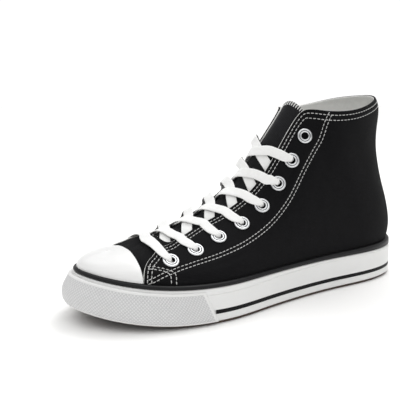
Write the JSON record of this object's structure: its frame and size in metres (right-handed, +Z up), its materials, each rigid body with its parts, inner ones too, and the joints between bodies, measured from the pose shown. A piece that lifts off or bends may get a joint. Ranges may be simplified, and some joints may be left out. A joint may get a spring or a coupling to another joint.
{
  "type": "high top sneaker",
  "caption": "Canvas high top sneaker for the left foot, laced, with a rubber toe cap, toe bumper and striped rubber sole.",
  "frame": {"origin": "middle of the box round the shoe, on the ground under the sole", "axes": "+Z up, +Y from the toe back to the heel, +X towards the outer side of the foot"},
  "size_m": [0.1046, 0.2992, 0.1516],
  "materials": {
    "outsole": "matt, fine tread",
    "midsole": "satin",
    "rand": "satin",
    "side_stripe": "satin",
    "toe_bumper": "satin, finely ribbed",
    "toe_cap": "smooth satin",
    "upper": "canvas",
    "tongue": "canvas",
    "insole": "woven",
    "eyelet": "polished",
    "lace": "flat woven cotton"
  },
  "bodies": {
    "root": {"outsole": "outsole", "midsole": "midsole", "rand": "rand", "side_stripe": "side_stripe", "toe_bumper": "toe_bumper", "toe_cap": "toe_cap", "upper": "upper", "tongue": "tongue", "insole": "insole", "eyelet_left_1": "eyelet", "eyelet_left_2": "eyelet", "eyelet_left_3": "eyelet", "eyelet_left_4": "eyelet", "eyelet_left_5": "eyelet", "eyelet_left_6": "eyelet", "eyelet_left_7": "eyelet", "eyelet_left_8": "eyelet", "eyelet_right_1": "eyelet", "eyelet_right_2": "eyelet", "eyelet_right_3": "eyelet", "eyelet_right_4": "eyelet", "eyelet_right_5": "eyelet", "eyelet_right_6": "eyelet", "eyelet_right_7": "eyelet", "eyelet_right_8": "eyelet", "lace_bar": "lace", "lace_cross_1": "lace", "lace_cross_2": "lace", "lace_cross_3": "lace", "lace_cross_4": "lace", "lace_cross_5": "lace", "lace_cross_6": "lace"}
  },
  "joints": []
}
